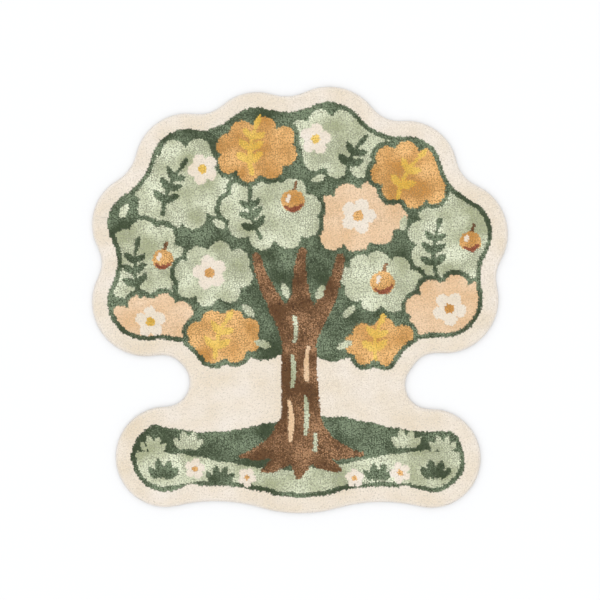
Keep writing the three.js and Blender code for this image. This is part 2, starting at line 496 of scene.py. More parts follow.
class Cartoon:
    """The picture worked out at a set of places: which yarn is tufted at each."""

    CURVE_STEPS = 16
    FAR = 1e4
    # How much the unsteady hand shows along an edge: along the border, a firm stroke and a loose one
    BORDER_HAND = 0.5
    FIRM_HAND = 0.3
    LOOSE_HAND = 0.6

    def __init__(self, picture: TreePicture, places: np.ndarray, depth: np.ndarray) -> None:
        """Lays the whole picture, each shape over those before it.

        Args:
            picture: The picture's tables.
            places: Places on the rug, in metres.
            depth: How far each place is in from the edge, in metres.
        """
        self.picture = picture
        self.forms = picture.forms
        self.x, self.y = places.T / MM
        self.wobble = summed(picture.unsteady_hand, self.x, self.y)
        self.inner = depth / MM - picture.border - self.BORDER_HAND * self.wobble
        self.yarn = np.full(len(places), Yarn.CREAM.value)
        self._lay_backdrop()
        for clump in picture.clumps:
            self._lay_clump(clump)
        for stroke in picture.trunk:
            self._lay_stroke(stroke, self.LOOSE_HAND)
        for leaf in picture.loose_leaves:
            self._lay_leaf(leaf.yarn, (leaf.x, leaf.y), leaf.size * self.forms.leaf_length, leaf.turn)
        for stroke in picture.bark:
            self._lay_stroke(stroke)
        for sprig in picture.sprigs:
            self._lay_sprig(sprig)
        for spot in picture.grass:
            self._lay_grass(spot)
        for spot in picture.blossoms:
            self._lay_blossom(spot)
        for spot in picture.fruits:
            self._lay_fruit(spot)

    def _lay(self, where: np.ndarray, yarn: Yarn) -> None:
        """Tufts one yarn where the mask says, inside the border."""
        self.yarn[where & (self.inner > 0)] = yarn.value

    def _covers(self, distance: np.ndarray, hand: float = 1.0) -> np.ndarray:
        """Where a shape covers the rug, with its edge drawn by an unsteady hand."""
        return distance + hand * self.wobble < 0

    def _merged(self, puffs: Sequence[Puff]) -> np.ndarray:
        """Distance to a group of puffs whose valleys are filled softly.

        Args:
            puffs: The puffs.

        Returns:
            The distance from each place, negative inside.
        """
        total = np.full(self.x.shape, self.FAR)
        blend = self.picture.blend
        for puff in puffs:
            distance = np.hypot(self.x - puff.x, self.y - puff.y) - puff.radius
            mix = np.clip(0.5 + 0.5 * (total - distance) / blend, 0, 1)
            total = total * (1 - mix) + distance * mix - blend * mix * (1 - mix)
        return total

    def _lay_backdrop(self) -> None:
        """Lays the crown's dark shape, the far ground and the meadow in front."""
        picture = self.picture
        self._lay(self._covers(self._merged(picture.crown)), Yarn.FOREST)
        ground = self._covers(self._merged(picture.ground))
        far = self._covers(self.y - picture.far_hill.line(self.x))
        near = self._covers(self.y - picture.near_hill.line(self.x))
        self._lay(ground & far, Yarn.FOREST)
        self._lay(ground & near & (self.inner > picture.line), Yarn.SAGE)

    def _lay_clump(self, clump: Clump) -> None:
        """Lays a clump of leaves with a dark line round it.

        Args:
            clump: The clump.
        """
        turn = math.radians(clump.turn)
        across = (self.x - clump.x) * math.cos(turn) + (self.y - clump.y) * math.sin(turn)
        along = (self.y - clump.y) * math.cos(turn) - (self.x - clump.x) * math.sin(turn)
        wide, tall, core = clump.half_width, clump.half_height, self.forms.clump_core
        shape = (np.hypot(across / wide, along / tall) / core - 1) * min(wide, tall) * core
        share = self.forms.clump_overlap * math.pi / clump.scallops
        puff = (wide + tall) / 2 * share / (1 + share)
        for index in range(clump.scallops):
            at = FULL_TURN * (index + 0.5) / clump.scallops
            gap = np.hypot(across - math.cos(at) * (wide - puff), along - math.sin(at) * (tall - puff))
            shape = np.minimum(shape, gap - puff)
        line = self.picture.line
        self._lay(self._covers(shape - line), Yarn.FOREST)
        self._lay(self._covers(shape) & (self.inner > line), clump.yarn)

    @staticmethod
    def _curve(points: Sequence[Sequence[float]], steps: int) -> np.ndarray:
        """Draws a curve that starts and ends at its first and last point and bends towards those between.

        Args:
            points: The bend points.
            steps: Places on the curve.

        Returns:
            The places, one row each.
        """
        t = np.linspace(0, 1, steps)[:, None]
        rows = [np.ones_like(t) * np.array(point, float) for point in points]
        while len(rows) > 1:
            rows = [a * (1 - t) + b * t for a, b in zip(rows, rows[1:])]
        return rows[0]

    def _lay_stroke(self, stroke: Stroke, hand: float = FIRM_HAND) -> None:
        """Lays a brush stroke that swells and thins along its way.

        Args:
            stroke: The stroke.
            hand: How much the unsteady hand shows in it.
        """
        path = self._curve(stroke.points, self.CURVE_STEPS)
        stations = np.linspace(0, 1, len(stroke.widths))
        half = np.interp(np.linspace(0, 1, len(path)), stations, stroke.widths) / 2
        low = path.min(axis=0) - max(stroke.widths)
        high = path.max(axis=0) + max(stroke.widths)
        near = (self.x > low[0]) & (self.x < high[0]) & (self.y > low[1]) & (self.y < high[1])
        x, y = self.x[near], self.y[near]
        shape = np.full(x.shape, np.inf)
        for a, b, half_a, half_b in zip(path, path[1:], half, half[1:]):
            way = b - a
            share = np.clip(((x - a[0]) * way[0] + (y - a[1]) * way[1]) / (way @ way + TINY), 0, 1)
            gap = np.hypot(x - a[0] - share * way[0], y - a[1] - share * way[1])
            shape = np.minimum(shape, gap - half_a - (half_b - half_a) * share)
        distance = np.full(self.x.shape, np.inf)
        distance[near] = shape
        self._lay(self._covers(distance, hand), stroke.yarn)

    def _lay_leaf(self, yarn: Yarn, foot: Sequence[float], length: float, turn: float) -> None:
        """Lays one pointed leaf.

        Args:
            yarn: Its yarn.
            foot: Where it starts, in millimetres.
            length: Its length, in millimetres.
            turn: Where it points, in degrees.
        """
        forms, at = self.forms, math.radians(turn)
        tip = (foot[0] + length * math.cos(at), foot[1] + length * math.sin(at))
        width = length * forms.leaf_width / forms.leaf_length
        swell = (share * width for share in forms.leaf_swell)
        widths = (forms.leaf_point_width, *swell, forms.leaf_point_width)
        self._lay_stroke(Stroke(yarn, (tuple(foot), tip), widths))

    def _lay_sprig(self, sprig: Sprig) -> None:
        """Lays a bent stem with its pairs of leaves and the leaf at its tip.

        Args:
            sprig: The sprig.
        """
        forms, at = self.forms, math.radians(sprig.turn)
        foot = np.array((sprig.x, sprig.y))
        way = sprig.length * np.array((math.cos(at), math.sin(at)))
        bend = foot + way / 2 + forms.stem_bend * np.array((-way[1], way[0]))
        points = (tuple(foot), tuple(bend), tuple(foot + way))
        self._lay_stroke(Stroke(sprig.yarn, points, forms.stem_widths))
        path = self._curve(points, forms.stem_steps)
        first, last = forms.stem_leaf_steps
        for pair in range(sprig.pairs + 1):
            step = round(first + (last - first) * pair / sprig.pairs)
            heading = path[step + 1] - path[step - 1]
            turn = math.degrees(math.atan2(heading[1], heading[0]))
            length = forms.leaf_length * (1 - forms.stem_thinning * pair / sprig.pairs)
            for side in (0,) if pair == sprig.pairs else (-1, 1):
                self._lay_leaf(sprig.yarn, path[step], length, turn + side * forms.stem_leaf_turn)

    def _lay_blossom(self, spot: Spot) -> None:
        """Lays a cream blossom with a heart in the spot's yarn.

        Args:
            spot: The blossom.
        """
        forms = self.forms
        out = np.hypot(self.x - spot.x, self.y - spot.y)
        turn = np.arctan2(self.y - spot.y, self.x - spot.x) - math.radians(spot.turn)
        swell = np.abs(np.cos(forms.petals / 2 * turn)) ** forms.petal_roundness
        reach = spot.size * (forms.petal_foot + (1 - forms.petal_foot) * swell)
        self._lay(self._covers(out - reach, self.FIRM_HAND), Yarn.CREAM)
        self._lay(out < forms.heart * spot.size, spot.yarn)

    def _lay_fruit(self, spot: Spot) -> None:
        """Lays a round fruit with its stalk, its shaded side and its glint.

        Args:
            spot: The fruit.
        """
        forms, size = self.forms, spot.size
        stalk = tuple((spot.x + across, spot.y + up * size) for across, up in forms.fruit_stalk)
        self._lay_stroke(Stroke(Yarn.BROWN, stalk, forms.fruit_stalk_widths))
        shape = np.hypot(self.x - spot.x, (self.y - spot.y) * forms.fruit_squatness) - size
        self._lay(self._covers(shape, self.FIRM_HAND), spot.yarn)
        for yarn, path, widths in (
            (Yarn.RUSSET, forms.fruit_shade, forms.fruit_shade_widths),
            (Yarn.CREAM, forms.fruit_glint, forms.fruit_glint_widths),
        ):
            points = tuple((spot.x + across * size, spot.y + up * size) for across, up in path)
            self._lay_stroke(Stroke(yarn, points, widths))

    def _lay_grass(self, spot: Spot) -> None:
        """Lays a fan of blades of grass.

        Args:
            spot: The tuft of grass.
        """
        forms = self.forms
        middle = (len(forms.blades) - 1) / 2
        for index, (turn, length) in enumerate(forms.blades):
            foot = (spot.x + (index - middle) * forms.blade_gap, spot.y - forms.blade_sink)
            self._lay_leaf(spot.yarn, foot, length * spot.size, turn)


@dataclass(frozen=True)
class Station:
    """A point of the edge's section: how far in from the outline, and how high, in metres."""

    inset: float
    height: float


class Signal:
    """A number's socket in a material, so that maths on it reads as an expression."""

    def __init__(self, maker: "NodeMaker", socket: bpy.types.NodeSocket) -> None:
        """Wraps a socket of the maker's material."""
        self.maker = maker
        self.socket = socket

    def _math(self, operation: str, *values: "Signal | float") -> "Signal":
        """Adds one Math node."""
        node = self.maker.node("ShaderNodeMath", {"operation": operation}, dict(enumerate(values)))
        return Signal(self.maker, node.outputs[0])

    def __add__(self, other: "Signal | float") -> "Signal":
        """Signal plus a value."""
        return self._math("ADD", self, other)

    __radd__ = __add__

    def __sub__(self, other: "Signal | float") -> "Signal":
        """Signal minus a value."""
        return self._math("SUBTRACT", self, other)

    def __rsub__(self, other: "Signal | float") -> "Signal":
        """A value minus the signal."""
        return self._math("SUBTRACT", other, self)

    def __mul__(self, other: "Signal | float") -> "Signal":
        """Signal times a value."""
        return self._math("MULTIPLY", self, other)

    __rmul__ = __mul__

    def clamped(self) -> "Signal":
        """The signal held between 0 and 1."""
        return self._math("MINIMUM", self._math("MAXIMUM", self, 0.0), 1.0)


class NodeMaker:
    """Adds nodes to a new material and keeps its surface shader."""

    def __init__(self, name: str) -> None:
        """Makes an empty material with a Principled surface."""
        self.material = bpy.data.materials.new(name)
        self.material.use_nodes = True
        self.tree = self.material.node_tree
        self.tree.nodes.clear()
        output = self.node("ShaderNodeOutputMaterial")
        self.surface = self.node("ShaderNodeBsdfPrincipled")
        self.tree.links.new(self.surface.outputs["BSDF"], output.inputs["Surface"])

    def node(self, kind: str, settings: dict | None = None, inputs: dict | None = None) -> bpy.types.Node:
        """Adds a node.

        Args:
            kind: The node's type.
            settings: Its settings, set before its sockets.
            inputs: A value, signal or socket for each input, by name or number.

        Returns:
            The new node.
        """
        node = self.tree.nodes.new(kind)
        for name, value in (settings or {}).items():
            setattr(node, name, value)
        for key, value in (inputs or {}).items():
            self.feed(node.inputs[key], value)
        return node

    def feed(self, socket: bpy.types.NodeSocket, value: object) -> None:
        """Links a signal or socket to an input, or sets its value.

        Args:
            socket: The input.
            value: A signal, a socket, or a plain value.
        """
        if isinstance(value, Signal):
            self.tree.links.new(value.socket, socket)
        elif isinstance(value, bpy.types.NodeSocket):
            self.tree.links.new(value, socket)
        else:
            socket.default_value = value

    def attribute(self, name: str) -> Signal:
        """A number that the mesh carries."""
        node = self.node("ShaderNodeAttribute", {"attribute_name": name})
        return Signal(self, node.outputs["Fac"])

    def place(self) -> bpy.types.NodeSocket:
        """Where a point lies on the object."""
        return self.node("ShaderNodeTexCoord").outputs["Object"]

    def noise(self, scale: float, detail: float = 2.0) -> Signal:
        """Noise of so many lumps a metre, fixed to the object."""
        inputs = {"Vector": self.place(), "Scale": scale, "Detail": detail}
        return Signal(self, self.node("ShaderNodeTexNoise", None, inputs).outputs["Fac"])

    def scaled(self, colour: object, factor: Signal) -> bpy.types.NodeSocket:
        """A colour times a number."""
        node = self.node("ShaderNodeVectorMath", {"operation": "SCALE"}, {0: colour, "Scale": factor})
        return node.outputs[0]

    def mixed(self, factor: Signal, first: object, second: object) -> bpy.types.NodeSocket:
        """Two colours mixed by a number."""
        node = self.node("ShaderNodeMix", {"data_type": "RGBA"}, {0: factor, 6: first, 7: second})
        return node.outputs[2]

    def bumped(self, height: Signal, strength: float, distance: float) -> bpy.types.NodeSocket:
        """A normal that is tilted by a height, so many metres deep."""
        inputs = {"Strength": strength, "Distance": distance, "Height": height}
        return self.node("ShaderNodeBump", None, inputs).outputs[0]

    def finished(self, **inputs: object) -> bpy.types.Material:
        """Feeds the surface shader.

        Args:
            inputs: A value, signal or socket for each input, by its name with low lines for spaces.

        Returns:
            The finished material.
        """
        for name, value in inputs.items():
            self.feed(self.surface.inputs[name.replace("_", " ")], value)
        return self.material


@dataclass(frozen=True)
class Dye:
    """The colours of one yarn.

    Deep and pale are its two ends: the pale end is lighter and greyer, partly the yarn's uneven tone and
    partly painted sheen. The painted root shade is the share of their mean that is left between the tufts,
    darker as painted shade. Mottle is how much single tufts and locks differ, and cloud is how much patches
    of the pile do, partly in tone and partly as painted light and shade of the nap.
    """

    deep: tuple[float, float, float]
    pale: tuple[float, float, float]
    # Painted shade: how dark the roots between the tufts are, as a share of the yarn's mean colour
    root_shade: float
    mottle: float
    cloud: float

    @property
    def root_colour(self) -> tuple[float, float, float, float]:
        """The colour between the tufts, darkened by the painted root shade."""
        return (*(self.root_shade * (a + b) / 2 for a, b in zip(self.deep, self.pale)), 1.0)


@dataclass(frozen=True)
class Stand:
    """How the cut pile of one yarn stands.

    Girth is how far a tuft's locks spread, as a share of the usual reach, and parting is what they lose where
    the pile opens. The radius of a lock's root, the depth of the roots, the drop of the lowest locks and the
    unevenness are in metres. Sway is how much the tufts lean this way and that, as a share of the usual lean.
    """

    girth: float
    parting: float
    radius: float
    depth: float
    drop: float
    uneven: float
    sway: float


# The third column is the painted shade of the roots seen between the tufts
DYES = {
    Yarn.CREAM: Dye((0.764, 0.669, 0.530), (0.842, 0.778, 0.702), 0.71, 0.045, 0.24),
    Yarn.SAGE: Dye((0.455, 0.484, 0.301), (0.842, 0.873, 0.688), 0.46, 0.17, 0.40),
    Yarn.FOREST: Dye((0.058, 0.086, 0.037), (0.268, 0.336, 0.217), 0.40, 0.40, 0.56),
    Yarn.BROWN: Dye((0.151, 0.067, 0.022), (0.496, 0.281, 0.144), 0.40, 0.45, 0.60),
    Yarn.TAN: Dye((0.730, 0.492, 0.276), (0.837, 0.645, 0.458), 0.68, 0.13, 0.32),
    Yarn.OCHRE: Dye((0.616, 0.307, 0.072), (0.932, 0.594, 0.258), 0.48, 0.15, 0.46),
    Yarn.YELLOW: Dye((0.740, 0.452, 0.064), (0.930, 0.690, 0.200), 0.55, 0.12, 0.32),
    Yarn.RUSSET: Dye((0.235, 0.056, 0.024), (0.473, 0.168, 0.090), 0.50, 0.25, 0.40),
}

STANDS = {
    Yarn.CREAM: Stand(1.05, 0.05, 2.9 * MM, 2.2 * MM, 0.20 * MM, 0.07 * MM, 0.4),
    Yarn.SAGE: Stand(0.98, 0.42, 2.3 * MM, 2.6 * MM, 0.5 * MM, 0.25 * MM, 1.0),
    Yarn.FOREST: Stand(0.94, 0.40, 2.1 * MM, 3.0 * MM, 0.7 * MM, 0.40 * MM, 1.1),
    Yarn.BROWN: Stand(0.94, 0.40, 2.1 * MM, 3.0 * MM, 0.7 * MM, 0.40 * MM, 1.1),
    Yarn.TAN: Stand(1.03, 0.20, 2.7 * MM, 2.2 * MM, 0.30 * MM, 0.14 * MM, 0.7),
    Yarn.OCHRE: Stand(0.98, 0.40, 2.3 * MM, 2.6 * MM, 0.5 * MM, 0.28 * MM, 1.0),
    Yarn.YELLOW: Stand(1.00, 0.30, 2.4 * MM, 2.3 * MM, 0.4 * MM, 0.22 * MM, 0.9),
    Yarn.RUSSET: Stand(0.96, 0.34, 2.2 * MM, 2.8 * MM, 0.6 * MM, 0.30 * MM, 1.0),
}


@dataclass(frozen=True)
class PileFinish:
    """Cut cotton pile of one yarn: soft, matt, uneven from tuft to tuft.

    Fibres and grains are so many a metre. The lights are shares of the yarn's own brightness, and each lock
    is darker at its root than at its tip as painted shade.
    """

    yarn: Yarn
    fibres: float = 1500.0
    fibre_detail: float = 4.0
    fibre_depth: float = 1.1 * MM
    grains: float = 420.0
    # Painted shade: a lock's light at its root, which rises by the tip's share up to its tip
    root_light: float = 0.91
    painted_tip_light: float = 0.09
    fibre_light: float = 0.34
    grain_light: float = 0.10
    mottle_light: float = 0.6
    mottle_bloom: float = 0.7

    def material(self) -> bpy.types.Material:
        """Builds the pile's material.

        Returns:
            The material, which reads the tufts' tone, cloud and rise.
        """
        dye = DYES[self.yarn]
        maker = NodeMaker(f"pile_{self.yarn.name.lower()}")
        fibre = maker.noise(self.fibres, self.fibre_detail)
        grain = maker.noise(self.grains)
        mottle = dye.mottle * maker.attribute("tone")
        # Each tuft mixes from the deep end to the pale: partly uneven tone, partly painted sheen that greys
        # paler tufts, and in the clouds painted light and shade of the nap
        bloom = (0.5 + dye.cloud * maker.attribute("cloud") + self.mottle_bloom * mottle).clamped()
        yarn = maker.mixed(bloom, (*dye.deep, 1.0), (*dye.pale, 1.0))
        # Painted shade: each lock darker down towards its root, by its rise
        light = self.root_light + self.painted_tip_light * maker.attribute("rise") + self.fibre_light * (fibre - 0.5)
        light = light + self.grain_light * (grain - 0.5) + self.mottle_light * mottle
        return maker.finished(
            Base_Color=maker.scaled(yarn, light),
            Roughness=0.95,
            Specular_IOR_Level=0.15,
            Sheen_Weight=0.15,
            Sheen_Roughness=0.6,
            Normal=maker.bumped(fibre, strength=1.0, distance=self.fibre_depth),
        )


@dataclass(frozen=True)
class GroundFinish:
    """The matted roots of the pile, in the yarns' colours darkened as painted shade between the tufts, with
    so many fibres a metre.
    """

    fibres: float = 1100.0
    fibre_light: float = 0.25
    fibre_depth: float = 0.6 * MM

    def material(self) -> bpy.types.Material:
        """Builds the material of the pile's roots.

        Returns:
            The material, which reads the mesh's yarn colours with their painted shade.
        """
        maker = NodeMaker("pile_roots")
        # The yarns' colours, darkened as painted shade between the tufts
        colour = maker.node("ShaderNodeAttribute", {"attribute_name": "shaded_yarn_colour"}).outputs["Color"]
        fibre = maker.noise(self.fibres)
        return maker.finished(
            Base_Color=maker.scaled(colour, 1.0 + self.fibre_light * (fibre - 0.5)),
            Roughness=1.0,
            Specular_IOR_Level=0.1,
            Normal=maker.bumped(fibre, strength=0.6, distance=self.fibre_depth),
        )


@dataclass(frozen=True)
class CanvasFinish:
    """The plain woven cotton canvas of the backing, with so many slubs a metre."""

    thread: float = 1.4 * MM
    thread_depth: float = 0.5 * MM
    slubs: float = 240.0
    colour: tuple[float, float, float, float] = (0.74, 0.66, 0.53, 1.0)
    shadow: tuple[float, float, float, float] = (0.50, 0.43, 0.33, 1.0)
    # Width of one band of Blender's wave texture at a scale of 1
    band: float = 0.314
    valley_light: float = 0.25
    weave_light: float = 0.6
    slub_light: float = 0.5
    weave_height: float = 0.8
    slub_height: float = 0.4

    def material(self) -> bpy.types.Material:
        """Builds a plain weave: raised threads one over one, both ways, darker in the valleys between threads
        as painted shade.

        Returns:
            The material.
        """
        maker = NodeMaker("canvas_backing")
        place = maker.place()
        checks = maker.node("ShaderNodeTexChecker", None, {"Vector": place, "Scale": 1 / self.thread})
        over = Signal(maker, checks.outputs["Fac"])
        bands = []
        for direction in ("X", "Y"):
            settings = {"wave_type": "BANDS", "bands_direction": direction}
            inputs = {"Vector": place, "Scale": self.band / self.thread}
            wave = maker.node("ShaderNodeTexWave", settings, inputs)
            bands.append(Signal(maker, wave.outputs["Fac"]))
        weave = over * bands[0] + (1 - over) * bands[1]
        slub = maker.noise(self.slubs)
        # Painted shade in the weave's valleys, with the slubs' own uneven tone
        shade = (self.valley_light + self.weave_light * weave + self.slub_light * (slub - 0.5)).clamped()
        height = self.weave_height * weave + self.slub_height * slub
        return maker.finished(
            Base_Color=maker.mixed(shade, self.shadow, self.colour),
            Roughness=0.9,
            Specular_IOR_Level=0.2,
            Normal=maker.bumped(height, strength=0.7, distance=self.thread_depth),
        )


def new_mesh_object(name: str, places: np.ndarray, faces: np.ndarray) -> bpy.types.Object:
    """Makes a mesh object from arrays.

    Args:
        name: The object's name.
        places: Corner places, one row each.
        faces: Corner numbers of the triangles, one row each.

    Returns:
        The object, linked to the scene and shaded smooth.
    """
    mesh = bpy.data.meshes.new(name)
    mesh.vertices.add(len(places))
    mesh.vertices.foreach_set("co", places.astype(np.float32).ravel())
    mesh.loops.add(faces.size)
    mesh.loops.foreach_set("vertex_index", faces.astype(np.int32).ravel())
    mesh.polygons.add(len(faces))
    mesh.polygons.foreach_set("loop_start", np.arange(0, faces.size, 3, dtype=np.int32))
    mesh.polygons.foreach_set("use_smooth", np.ones(len(faces), bool))
    mesh.update(calc_edges=True)
    mesh.validate()
    piece = bpy.data.objects.new(name, mesh)
    bpy.context.scene.collection.objects.link(piece)
    return piece


@dataclass(frozen=True)
class Fold:
    """A line across the rug where it was folded: its place, how it wanders, and how it comes and goes."""

    line: float
    wander: Waves
    fade: Waves


@dataclass(frozen=True)
class PileTop:
    """The cut top of the pile: rounded at the edge, softly uneven, and parted where the rug was folded.

    The fold's strength at the middle, its usual strength and its most are shares of the fold's depth.
    """

    section: tuple[Station, ...] = (
        Station(0.0 * MM, 6.5 * MM),
        Station(1.4 * MM, 10.4 * MM),
        Station(5.0 * MM, 13.3 * MM),
        Station(11.0 * MM, 15.0 * MM),
        Station(22.0 * MM, 15.8 * MM),
    )
    lumps: Waves = Waves(110, 11, 0.45 * MM)
    lump_inset: float = 20 * MM
    folds: tuple[Fold, ...] = (
        Fold(211 * MM, Waves(160, 81, 3.5 * MM), Waves(90, 91, 0.7)),
        Fold(-281 * MM, Waves(160, 82, 3.5 * MM), Waves(90, 92, 0.7)),
    )
    fold_depth: float = 1.3 * MM
    fold_width: float = 8 * MM
    fold_at_middle: float = 0.2
    fold_usual: float = 0.8
    fold_most: float = 1.3
    half_width: float = 535 * MM

    def _folded(self, places: np.ndarray) -> Iterator[tuple[np.ndarray, np.ndarray]]:
        """Works out one fold after the other.

        Args:
            places: Places on the rug.

        Returns:
            For each fold, how far places lie above it, in fold widths, and how strong it is there.
        """
        x, y = places.T
        along, level = x / MM, np.zeros(len(x))
        sides = self.fold_at_middle + (1 - self.fold_at_middle) * np.abs(x) / self.half_width
        for fold in self.folds:
            fade = np.clip(self.fold_usual + fold.fade.height(along, level), 0, self.fold_most)
            above = (y - fold.line - fold.wander.height(along, level)) / self.fold_width
            yield above, sides * fade

    def height(self, places: np.ndarray, depth: np.ndarray) -> np.ndarray:
        """Height of the pile's top.

        Args:
            places: Places on the rug.
            depth: How far each is in from the edge.

        Returns:
            Heights above the floor, in metres.
        """
        x, y = places.T / MM
        top = np.interp(depth, [s.inset for s in self.section], [s.height for s in self.section])
        top = top + self.lumps.height(x, y) * np.clip(depth / self.lump_inset, 0, 1)
        for above, strength in self._folded(places):
            top -= self.fold_depth * strength * np.exp(-(above**2))
        return top

    def parted(self, places: np.ndarray) -> np.ndarray:
        """How strongly the folds turn the pile up or down the rug.

        Args:
            places: Places on the rug.

        Returns:
            Numbers between about -1 and 1, positive above a fold.
        """
        turned = np.zeros(len(places))
        for above, strength in self._folded(places):
            turned += strength * np.sign(above) * np.exp(-np.abs(above))
        return turned


@dataclass
class PileGround:
    """The body of the cloth: the canvas backing and the matted roots of the pile on it."""

    edge: Edge
    picture: TreePicture
    top: PileTop
    section: tuple[Station, ...] = (
        Station(4.2 * MM, 0.0),
        Station(3.2 * MM, 0.5 * MM),
        Station(2.4 * MM, 2.4 * MM),
        Station(2.3 * MM, 5.2 * MM),
        Station(2.3 * MM, 7.4 * MM),
        Station(3.0 * MM, 9.2 * MM),
        Station(5.8 * MM, 11.2 * MM),
        Station(11.0 * MM, 12.5 * MM),
        Station(16.0 * MM, 12.9 * MM),
    )
    canvas_rows: int = 3
    grid: float = 5.4 * MM
    back_grid: float = 60 * MM
    # Share of the grid's spacing that is left free inside a sheet's outline
    clear: float = 0.45
    weld: float = 1e-7
    piece: bpy.types.Object | None = field(default=None, init=False)

    def _sheet(self, outline: np.ndarray, spacing: float) -> tuple[np.ndarray, np.ndarray]:
        """Fills a closed outline with a grid of triangles.

        Args:
            outline: The outline's points, anticlockwise.
            spacing: Distance between the grid's points.

        Returns:
            The places, the outline's first and in order, and the triangles.
        """
        low, high = outline.min(axis=0), outline.max(axis=0)
        across = np.arange(low[0], high[0], spacing)
        along = np.arange(low[1], high[1], spacing)
        grid = np.stack(np.meshgrid(across, along), axis=-1).reshape(-1, 2)
        inset = self.edge.measure(outline[:1])[0][0]
        grid = grid[self.edge.measure(grid)[0] > inset + self.clear * spacing]
        corners = [Vector(p) for p in np.concatenate([outline, grid])]
        count = len(outline)
        rim = [(i, (i + 1) % count) for i in range(count)]
        # Output type 1 keeps the triangles inside the rim
        made, _, faces, *_ = delaunay_2d_cdt(corners, rim, [], 1, self.weld)
        return np.array([tuple(p) for p in made]), np.array([tuple(f) for f in faces])

    @staticmethod
    def _bands(rows: int, count: int) -> list[np.ndarray]:
        """Joins rows of points round the edge.

        Args:
            rows: The number of rows, from the back to the top.
            count: Points in a row.

        Returns:
            The triangles, two sets for each pair of rows.
        """
        here = np.arange(count)
        beside = (here + 1) % count
        faces = []
        for low in range(0, (rows - 1) * count, count):
            high = low + count
            faces.append(np.stack([low + here, low + beside, high + beside], axis=1))
            faces.append(np.stack([low + here, high + beside, high + here], axis=1))
        return faces

    def build(self) -> None:
        """Builds the closed slab: section rows round the edge, a sheet on top and a sheet below."""
        rows = [(self.edge.drawn_in(s.inset), s.height) for s in self.section]
        count = len(self.edge.points)
        places = [np.column_stack([row, np.full(count, height)]) for row, height in rows]
        faces = self._bands(len(rows), count)
        for row, spacing, first in ((-1, self.grid, (len(rows) - 1) * count), (0, self.back_grid, 0)):
            outline, level = rows[row]
            made, sheet = self._sheet(outline, spacing)
            inner = made[count:]
            height = self._roots(inner) if row else np.full(len(inner), level)
            start = sum(len(p) for p in places)
            places.append(np.column_stack([inner, height]))
            numbers = np.where(sheet < count, sheet + first, sheet - count + start)
            faces.append(numbers if row else numbers[:, ::-1])
        back_faces = len(faces[-1])
        places, faces = np.concatenate(places), np.concatenate(faces)
        self.piece = new_mesh_object("pile_roots", places, faces)
        canvas = np.zeros(len(faces), np.int32)
        canvas[: 2 * count * (self.canvas_rows - 1)] = 1
        canvas[len(faces) - back_faces :] = 1
        self.piece.data.polygons.foreach_set("material_index", canvas)
        self._colour(places[:, :2])

    def _roots(self, places: np.ndarray) -> np.ndarray:
        """Height of the roots' sheet, which lies deeper under the shaggier yarns.

        Args:
            places: Places on the rug.

        Returns:
            Heights above the floor, in metres.
        """
        depth, _ = self.edge.measure(places)
        yarn = Cartoon(self.picture, places, depth).yarn
        below = np.array([STANDS[kind].depth for kind in Yarn])[yarn]
        return self.top.height(places, depth) - below

    def _colour(self, places: np.ndarray) -> None:
        """Gives the roots the colour of the yarn that stands on them, darkened as painted shade between the
        tufts.

        Args:
            places: Places of the mesh's corners on the rug.
        """
        depth, _ = self.edge.measure(places)
        yarn = Cartoon(self.picture, places, depth).yarn
        # Each yarn's colour darkened by its painted root shade
        colours = np.array([DYES[kind].root_colour for kind in Yarn])[yarn]
        attribute = self.piece.data.color_attributes.new("shaded_yarn_colour", "FLOAT_COLOR", "POINT")
        attribute.data.foreach_set("color", colours.astype(np.float32).ravel())

    def dress(self) -> None:
        """Puts the roots' finish on top and canvas at the back and round the rim."""
        self.piece.data.materials.append(GroundFinish().material())
        self.piece.data.materials.append(CanvasFinish().material())


@dataclass(frozen=True)
class TuftForm:
    """The shape of one cut tuft: a few locks of fibre that stand together, each a slim three-sided point.

    Scatter, nearest and root spread say how the locks stand: how far one turns from its even place, how near
    the middle its tip may be, and how far its root is out, as shares of the turn between locks, the reach and
    the tip's place. Tone is how much locks differ, and darkest is the most that one may.
    """

    locks: int = 5
    sides: int = 3
    reach: float = 1.9 * MM
    scatter: float = 0.3
    nearest: float = 0.15
    root_spread: float = 0.8
    sunk: float = 0.4 * MM
    rim_length: float = 2.8 * MM
    tone: float = 0.45
    darkest: float = 1.6

    @property
    def corners(self) -> int:
        """Corner points of one tuft."""
        return (self.sides + 1) * self.locks

    @property
    def faces(self) -> np.ndarray:
        """Triangles of one tuft."""
        here = np.arange(self.sides)
        lock = np.stack([here, (here + 1) % self.sides, np.full(self.sides, self.sides)], axis=1)
        return np.concatenate([lock + (self.sides + 1) * index for index in range(self.locks)])


@dataclass
class Tufts:
    """Arrays with one row a tuft: the tip, the direction, the length, and how its locks stand and look."""

    tip: np.ndarray
    way: np.ndarray
    length: np.ndarray
    girth: np.ndarray
    radius: np.ndarray
    drop: np.ndarray
    tone: np.ndarray
    cloud: np.ndarray

    def chosen(self, which: np.ndarray) -> "Tufts":
        """The tufts that a mask picks out."""
        return Tufts(*(getattr(self, column.name)[which] for column in fields(self)))


@dataclass(frozen=True)
class Lean:
    """How the tufts lean, as shares of their height.

    The outward leans stand at their insets from the edge, and the other leans fade to the calm share at the
    edge itself.
    """

    everywhere: tuple[float, float] = (0.04, -0.08)
    uneven: float = 0.10
    swells: tuple[Waves, ...] = (Waves(150, 31, 0.14), Waves(42, 32, 0.14), Waves(15, 33, 0.24))
    at_folds: float = 0.7
    insets: tuple[float, ...] = (1 * MM, 2 * MM, 5 * MM, 10 * MM, 18 * MM)
    outwards: tuple[float, ...] = (1.9, 1.2, 0.50, 0.16, 0.0)
    calm_share: float = 0.15
    calm_inset: float = 15 * MM


